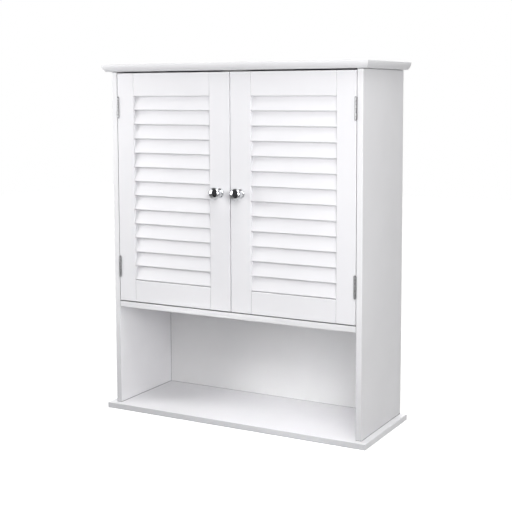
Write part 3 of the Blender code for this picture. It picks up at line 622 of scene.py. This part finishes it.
def cross_recess(piece, top, width, depth):
    """Cuts a tapered cross into the end of a screw head that faces up Z."""
    for quarter_turn in (0, 90):
        select_only()
        bpy.ops.mesh.primitive_cube_add(size=1, location=(0, 0, top), scale=(width, width / 4, 2 * depth),
                                        rotation=(0, 0, math.radians(quarter_turn)))
        blade = bpy.context.object
        edit(blade)
        bpy.ops.mesh.select_mode(type="FACE")
        bpy.ops.mesh.select_all(action="DESELECT")
        shape = bmesh.from_edit_mesh(blade.data)
        for face in shape.faces:
            face.select_set(face.normal.z < -0.9)
        bmesh.update_edit_mesh(blade.data)
        bpy.ops.transform.resize(value=BLADE_TAPER)
        bpy.ops.object.mode_set(mode="OBJECT")
        carve(piece, blade)


print("cutter ready")

# %% [markdown]
# ## Knobs
# Each knob is a mushroom: a domed cap, a waist, and a foot that flares out on the stile. Seen from the side
# the flare is hollow, and that curve is what the photo's bright drop under the cap shows. A turned piece
# with many close stations gives the smooth curves that a mirror finish needs. A pan-head screw from the
# back of the stile holds it.

# %% Turn the knobs
# Pieces that touch lie this far apart, as in the CAD model
FIT = 0.0003
LENGTH, CAP, NECK, FOOT = 0.0275, 0.0122, 0.0046, 0.009
CAP_FRONT, CAP_BACK, FOOT_THICK, FOOT_LIP = 0.006, 0.0045, 0.0024, 0.0007
cap_middle = LENGTH - CAP_FRONT
neck_top = cap_middle - CAP_BACK
knob_line = [(FIT, 0.0002), (FIT, FOOT - 0.0003), (FIT + 0.0003, FOOT), (FOOT_THICK - FOOT_LIP, FOOT)]
knob_line += quarter(FOOT_THICK - FOOT_LIP, FOOT - FOOT_LIP, FOOT_LIP, FOOT_LIP, 15, 90, 5)
knob_line += quarter(neck_top, FOOT - FOOT_LIP, FOOT_THICK - neck_top, NECK - FOOT + FOOT_LIP, 84, 0, 14)
knob_line += quarter(cap_middle, NECK, -CAP_BACK, CAP - NECK, 84, 0, 14)
knob_line += quarter(cap_middle, 0, CAP_FRONT, CAP, 6, 89, 20)
knob_model = turn_piece(knob_line, 72)

screw_line = [(0.0, 0.0002), (0.0, 0.0038)] + quarter(0.0009, 0.0028, 0.0015, 0.0012, 0, 85, 7)
knob_screw_model = turn_piece(screw_line, 40)
cross_recess(knob_screw_model, 0.0024, 0.0036, 0.0012)
print("knob vertices:", len(knob_model.data.vertices))

# %% [markdown]
# A finished piece keeps its place in its mesh, with its object at the origin, exactly as the CAD nodes do.
# It rides on the body that it is fastened to, so it swings with its door, and a finer piece replaces the
# CAD node that it was made from.

# %% Placing a piece
def bake_place(piece):
    """Fixes a piece's place, turn and scale in its mesh."""
    select_only(piece)
    bpy.ops.object.transform_apply(location=True, rotation=True, scale=True)


def settle(piece, name, finish, body, at=None):
    """Moves a piece to its place for good, names it, paints it and lets it ride on its body."""
    if at is not None:
        piece.matrix_world = at @ piece.matrix_world
        bpy.context.view_layer.update()
    bake_place(piece)
    piece.name = name
    piece.data.name = name
    piece.data.materials.clear()
    piece.data.materials.append(finish)
    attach(piece, body)
    return piece


def copy_of(piece):
    """A copy of a piece with a mesh of its own."""
    copied = piece.copy()
    copied.data = piece.data.copy()
    bpy.context.scene.collection.objects.link(copied)
    return copied


def laid(place, degrees, axis):
    """A matrix that turns what was made about Z, and takes it to its place."""
    return Matrix.Translation(place) @ Matrix.Rotation(math.radians(degrees), 4, axis)


# %% Set the knobs on the stiles
SIDES = {"left": -1, "right": 1}
DOOR_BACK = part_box("left_meeting_stile")[1].y
for side in SIDES:
    low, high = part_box(side + "_knob")
    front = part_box(side + "_meeting_stile")[0].y
    across, up = (low.x + high.x) / 2, (low.z + high.z) / 2
    knob = settle(copy_of(knob_model), side + "_turned_knob", knob_chrome, side + "_door",
                  laid((across, front, up), 90, "X"))
    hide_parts(side + "_knob")
    settle(copy_of(knob_screw_model), side + "_knob_screw", bright_steel, side + "_door",
           laid((across, DOOR_BACK + FIT, up), -90, "X"))
discard(knob_model, knob_screw_model)
print("knobs stand", round(1000 * (front - low.y), 1), "mm proud")

# %% [markdown]
# ## Crown board
# The crown's edge is one cut of a moulding cutter: a curve that stands upright under the softened top arris
# and swells in towards the foot. It runs along the front and both ends, and the back stays square.
# A rectangle is raised step by step and drawn in about the middle of its back edge, so the front and the
# ends follow the moulding with true mitres while the back never moves.

# %% Raise the crown's moulding
low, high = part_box("top_board")
MOULD_IN, ARRIS, CURVE_STEPS, ARRIS_STEPS = 0.007, 0.001, 16, 8
curve_high = high.z - low.z - ARRIS
moulding = [(0.0, MOULD_IN + 0.0002)]
for step in range(1, CURVE_STEPS + 1):
    part = 1 - step / CURVE_STEPS
    moulding.append((curve_high * (1 - part), MOULD_IN * part * part))
for step in range(1, ARRIS_STEPS + 1):
    angle = math.radians(90) * step / ARRIS_STEPS
    moulding.append((curve_high + ARRIS * math.sin(angle), ARRIS * (1 - math.cos(angle))))
half, deep = high.x, -low.y
rise, inset = moulding[0]
select_only()
bpy.ops.mesh.primitive_plane_add(size=1, location=(0, -(deep - inset) / 2, low.z))
crown = bpy.context.object
crown.scale = (2 * (half - inset), deep - inset, 1)
bake_place(crown)
edit(crown)
for new_rise, new_inset in moulding[1:]:
    bpy.ops.mesh.extrude_region_move(TRANSFORM_OT_translate={"value": (0, 0, new_rise - rise)})
    wider, deeper = (half - new_inset) / (half - inset), (deep - new_inset) / (deep - inset)
    bpy.ops.transform.resize(value=(wider, deeper, 1), center_override=(0, 0, low.z + new_rise))
    rise, inset = new_rise, new_inset
close_shape(crown)
smooth(crown, 25)
settle(crown, "crown_board", crown_paint, "cabinet")
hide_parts("top_board")
print("crown rings:", len(moulding), "size in mm:", [round(1000 * part, 1) for part in crown.dimensions])

# %% [markdown]
# ## Butt hinges
# A butt hinge is two stamped plates whose tabs are rolled round one pin. Six knuckles share the pin in
# turn, three of the panel's leaf and three of the door's, with a hair of play between them. Between its
# tabs a leaf is cut back, and that is what the photo shows as dark notches beside the bright barrel. One
# leaf is made of a plate, its tabs and its knuckles, joined and then drilled, so it takes blocks, rods and
# rounded corners.

# %% Blocks, rods and round corners
def bar(size, place):
    """A block of the given size about a place."""
    select_only()
    bpy.ops.mesh.primitive_cube_add(size=1, location=place)
    made = bpy.context.object
    made.scale = size
    bake_place(made)
    return made


def rod(radius, low, high, sides=32, soft=0.0):
    """An upright rod about the pin's line, its ends softened if asked."""
    ends = [(low, radius - soft), (low + soft, radius), (high - soft, radius), (high, radius - soft)]
    return turn_piece(ends if soft else [(low, radius), (high, radius)], sides)


def round_corners(piece, width, chosen):
    """Rounds the edges that pass a test of their middle and direction."""
    edit(piece)
    bpy.ops.mesh.select_mode(type="EDGE")
    bpy.ops.mesh.select_all(action="DESELECT")
    shape = bmesh.from_edit_mesh(piece.data)
    for edge in shape.edges:
        first, second = edge.verts[0].co, edge.verts[1].co
        edge.select_set(chosen((first + second) / 2, (second - first).normalized()))
    bmesh.update_edit_mesh(piece.data)
    bpy.ops.mesh.bevel(offset=width, segments=4)
    bpy.ops.object.mode_set(mode="OBJECT")


def countersink(piece, shaft, head, at):
    """Drills a hole through a thin plate, with a cone for a flat head."""
    drill = turn_piece([(-0.0016, shaft), (-0.0006, shaft), (0.0006, head), (0.001, head + 0.0004)], 32)
    drill.matrix_world = at
    bake_place(drill)
    carve(piece, drill)


print("blocks, rods, round corners and countersinks ready")

# %% Sizes of a hinge
PANEL_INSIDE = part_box("right_side_panel")[0].x
BARREL, PIN, LEAF, HINGE, PLAY = 0.00235, 0.0011, 0.001, 0.042, 0.0004
PIN_X, PIN_Y, PIN_HEAD, PIN_DOME = PANEL_INSIDE - FIT - BARREL, -0.2058, 0.0017, 0.001
LEAF_MIDDLES = {"panel": BARREL - LEAF / 2, "door": BARREL - 1.5 * LEAF - FIT}
PLATE_FRONT, PLATE_BACK, SCREW_APART = BARREL + 2 * FIT, 0.0143, 0.027
SCREW_DEEP = (PLATE_FRONT + PLATE_BACK) / 2
knuckle = (HINGE - 5 * PLAY) / 6
starts = [-HINGE / 2 + index * (knuckle + PLAY) for index in range(6)]
print("knuckles are", round(1000 * knuckle, 2), "mm long, and the pins stand", round(1000 * PIN_X, 2),
      "mm from the middle")

# %% Leaf of a hinge
def on_leaf(x, outward, end, under):
    """The place of a screw or its hole at one end of a leaf, so far under the face that it enters by."""
    return laid((x - outward * (LEAF / 2 - under), SCREW_DEEP, end * SCREW_APART / 2), -90 * outward, "Y")


def hinge_leaf(x, outward, owned, bore):
    """A leaf about the pin's line, lying towards +Y. Its screws go in towards the given side in X."""
    leaf = bar((LEAF, PLATE_BACK - PLATE_FRONT, HINGE), (x, SCREW_DEEP, 0))
    round_corners(leaf, 0.0016, lambda place, along: abs(along.x) > 0.9 and place.y > PLATE_BACK - 0.001)
    for index in owned:
        low, high = starts[index], starts[index] + knuckle
        tab = bar((LEAF, PLATE_FRONT + 0.0001, knuckle - 2 * FIT),
                  (x, PLATE_FRONT / 2 + 0.00035, (low + high) / 2))
        carve(leaf, tab, "UNION")
        carve(leaf, rod(BARREL, low, high, 36, 0.00025), "UNION")
    carve(leaf, rod(bore, -HINGE, HINGE, 24))
    for end in (-1, 1):
        countersink(leaf, 0.0012, 0.0025, on_leaf(x, outward, end, 0.0004))
    close_shape(leaf)
    smooth(leaf)
    return leaf


print("leaves are", round(1000 * PLATE_BACK, 1), "mm deep from the pin's line")

# %% Pin and leaf screws
def flat_screw(length, tip, shaft, head):
    """A small flat-head screw down from 0, with a cross in its head."""
    screw = turn_piece([(-length, 0.0002), (tip - length, 0.001), (-0.0012, shaft), (0.0, head),
                        (0.0001, head)], 28)
    cross_recess(screw, 0.0001, 0.0026, 0.0007)
    return screw


pin_line = quarter(-HINGE / 2 - PLAY, 0, PIN_DOME, PIN_HEAD, -86, 0, 6) + [(-HINGE / 2 - PLAY, PIN)]
pin_line += [(HINGE / 2, PIN)] + quarter(HINGE / 2, 0, PIN_DOME, PIN_HEAD, 0, 86, 6)
pin_model = turn_piece(pin_line, 28)
leaf_screw_model = flat_screw(length=0.0105, tip=0.002, shaft=0.0011, head=0.0023)
print("pin is", round(1000 * pin_model.dimensions.z, 1), "mm long over its heads")

# %% Hang the hinges
for side, sign in SIDES.items():
    leaves = {"panel": hinge_leaf(sign * LEAF_MIDDLES["panel"], sign, (1, 3, 5), PIN + 0.00005),
              "door": hinge_leaf(sign * LEAF_MIDDLES["door"], -sign, (0, 2, 4), PIN + FIT)}
    for level in ("upper", "lower"):
        low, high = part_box(f"{side}_{level}_door_leaf")
        centre = Matrix.Translation((sign * PIN_X, PIN_Y, (low.z + high.z) / 2))
        for member, model in leaves.items():
            body = "cabinet" if member == "panel" else side + "_door"
            leaf = settle(copy_of(model), f"{side}_{level}_{member}_hinge_leaf", hinge_plate, body,
                          centre)
            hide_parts(f"{side}_{level}_{'frame' if member == 'panel' else 'door'}_leaf")
            outward = sign if member == "panel" else -sign
            for end, where in ((1, "top"), (-1, "bottom")):
                head = on_leaf(sign * LEAF_MIDDLES[member], outward, end, 0.00015)
                settle(copy_of(leaf_screw_model), f"{side}_{level}_{member}_leaf_{where}_screw", bright_steel,
                       body, centre @ head)
        settle(copy_of(pin_model), f"{side}_{level}_hinge_pin", shaded_pin_steel, "cabinet", centre)
    discard(*leaves.values())
discard(pin_model, leaf_screw_model)

# %% [markdown]
# ## Shelf pins
# The loose shelf lies on four turned pins, each pushed into one of the holes of the side panels up to its
# collar. A pin is plain work for the lathe: one is turned, and four copies are laid over along X.

# %% Turn the shelf pins
pin_line = [(-0.0075, 0.0019), (-0.0069, 0.0025), (FIT, 0.0025), (FIT, 0.0038), (FIT + 0.0002, 0.004),
            (FIT + 0.001, 0.004), (FIT + 0.0012, 0.0038), (FIT + 0.0012, 0.0025), (FIT + 0.0087, 0.0025),
            (FIT + 0.009, 0.0023), (FIT + 0.0092, 0.0019)]
shelf_pin_model = turn_piece(pin_line, 36)
for side, sign in SIDES.items():
    for place in ("front", "back"):
        node = f"shelf_pin_{side}_{place}"
        low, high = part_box(node)
        hole = (sign * PANEL_INSIDE, (low.y + high.y) / 2, (low.z + high.z) / 2)
        pin = settle(copy_of(shelf_pin_model), f"{side}_{place}_shelf_pin", bright_steel, "cabinet",
                     laid(hole, -90 * sign, "Y"))
        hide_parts(node)
discard(shelf_pin_model)
print("shelf pins: 4")

# %% [markdown]
# ## Magnetic catch
# A twin catch hangs under the crown board by an ear at each end: a white housing, and in its front two
# pockets, each with a dark magnet between two steel pole plates that stand a little proud. Each door meets
# it with a steel strike plate. The doors hide it in the photo, so its form is the common one. Its mould
# leaves crisp walls and even corners, which blocks that are rounded first and then joined and cut give.

# %% Catch housing and magnets
low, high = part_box("door_catch")
PROUD, EAR, EAR_THICK, POCKET_HIGH, POCKET_DEEP, POCKET_PLAY = 0.0012, 0.009, 0.0022, 0.007, 0.008, 0.0004
MAGNET_X, MAGNET_LONG, MAGNET_DEEP, MAGNET_HIGH = 0.0095, 0.013, 0.0066, 0.0042
POLE_DEEP, POLE_THICK, POLE_UP = 0.0070, 0.0012, 0.0029
face, back, top = low.y + PROUD, high.y, high.z
middle_y, middle_z = (face + back) / 2, top - (high.z - low.z) / 2 - 0.001
housing = bar((high.x - low.x - 2 * EAR, back - face, high.z - low.z), (0, middle_y, (low.z + high.z) / 2))
round_corners(housing, 0.0012, lambda middle, along: middle.z < top - 0.0005)
ears = bar((high.x - low.x, back - face - 0.002, EAR_THICK), (0, middle_y, top - EAR_THICK / 2))
round_corners(ears, 0.003, lambda middle, along: abs(along.z) > 0.9)
carve(housing, ears, "UNION")
for sign in (-1, 1):
    pocket = bar((MAGNET_LONG + POCKET_PLAY, POCKET_DEEP, POCKET_HIGH + POCKET_PLAY),
                 (sign * MAGNET_X, face + 0.0035, middle_z))
    carve(housing, pocket)
    hole = turn_piece([(-0.01, 0.0016), (0.001, 0.0016)], 28)
    hole.location = (sign * (high.x - EAR / 2), middle_y, top)
    carve(housing, hole)
smooth(housing)
settle(housing, "door_catch_housing", catch_plastic, "cabinet")
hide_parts("door_catch")
for side, sign in SIDES.items():
    x = sign * MAGNET_X
    magnet = bar((MAGNET_LONG, MAGNET_DEEP, MAGNET_HIGH), (x, low.y + POLE_DEEP - MAGNET_DEEP / 2, middle_z))
    round_corners(magnet, 0.0003, lambda middle, along: True)
    settle(magnet, side + "_catch_magnet", magnet_black, "cabinet")
    for above, name in ((1, "upper"), (-1, "lower")):
        pole = bar((MAGNET_LONG, POLE_DEEP, POLE_THICK),
                   (x, low.y + POLE_DEEP / 2, middle_z + above * POLE_UP))
        round_corners(pole, 0.0003, lambda middle, along: middle.y < low.y + 0.0005)
        settle(pole, f"{side}_catch_{name}_pole", bright_steel, "cabinet")
print("catch is", round(1000 * (high.x - low.x)), "mm long")

# %% Strike plates and their screws
pan_line = [(-0.008, 0.0002), (-0.0065, 0.0011), (0.0, 0.0012), (0.0, 0.0026)]
pan_line += quarter(0.0004, 0.0016, 0.0011, 0.001, 0, 86, 6)
pan_screw_model = turn_piece(pan_line, 32)
cross_recess(pan_screw_model, 0.0015, 0.0026, 0.0008)
for side, sign in SIDES.items():
    low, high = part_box(side + "_strike_plate")
    middle = (low + high) / 2
    plate = bar(tuple(high - low), tuple(middle))
    round_corners(plate, 0.002, lambda middle, along: abs(along.y) > 0.9)
    countersink(plate, 0.0014, 0.0026, laid((middle.x, high.y - 0.0004, middle.z), -90, "X"))
    smooth(plate)
    settle(plate, side + "_door_strike", bright_steel, side + "_door")
    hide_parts(side + "_strike_plate")
    strike_screw = flat_screw(length=0.0095, tip=0.0015, shaft=0.0012, head=0.0024)
    settle(strike_screw, side + "_strike_screw", bright_steel, side + "_door",
           laid((middle.x, high.y - 0.0002, middle.z), -90, "X"))
    ear_x = sign * (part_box("door_catch")[1].x - EAR / 2)
    settle(copy_of(pan_screw_model), side + "_catch_screw", bright_steel, "cabinet",
           laid((ear_x, middle_y, top - EAR_THICK), 180, "X"))
discard(pan_screw_model)
print("strike plates: 2")

# %% [markdown]
# ## Fixings of the carcass
# Four screws come up through the base board into the side panels, their heads sunk in the counterbores
# that the base board already has. The crown board and the fixed shelf are drawn tight by cams, whose
# holes are closed with thin white caps on the inside of the cupboard. The photo shows neither. Both are
# turned: the screws in full, though only their heads show, and the caps as thin domes laid on the boards.

# %% Base screws and cam caps
base_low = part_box("bottom_board")[0].z
head_line = [(-0.03, 0.0003), (-0.027, 0.0016), (-0.0042, 0.0022), (-0.0016, 0.0045), (-0.0002, 0.0045),
             (0.0, 0.0043)]
base_screw_model = turn_piece(head_line, 36)
cross_recess(base_screw_model, 0.0, 0.0050, 0.0016)
cap_line = [(0.0, 0.0002), (0.0, 0.0083), (0.0003, 0.0085)]
cap_line += quarter(0.0005, 0.0077, 0.0006, 0.0008, 0, 88, 5)
cap_model = turn_piece(cap_line, 48)
shelf_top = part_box("middle_shelf")[1].z
crown_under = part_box("top_board")[0].z
PANEL_MIDDLE, CAM_IN = PANEL_INSIDE + 0.006, 0.034
for side, sign in SIDES.items():
    for place, base_y, cap_y in (("front", -0.165, -0.160), ("back", -0.040, -0.050)):
        settle(copy_of(base_screw_model), f"{side}_{place}_base_screw", bright_steel, "cabinet",
               laid((sign * PANEL_MIDDLE, base_y, base_low + 0.0004), 180, "X"))
        settle(copy_of(cap_model), f"{side}_{place}_shelf_cam_cap", catch_plastic, "cabinet",
               Matrix.Translation((sign * (PANEL_INSIDE - CAM_IN), cap_y, shelf_top)))
        settle(copy_of(cap_model), f"{side}_{place}_crown_cam_cap", catch_plastic, "cabinet",
               laid((sign * PANEL_INSIDE, cap_y, crown_under - CAM_IN), -90 * sign, "Y"))
discard(base_screw_model, cap_model)
print("base screws: 4, cam caps: 8")
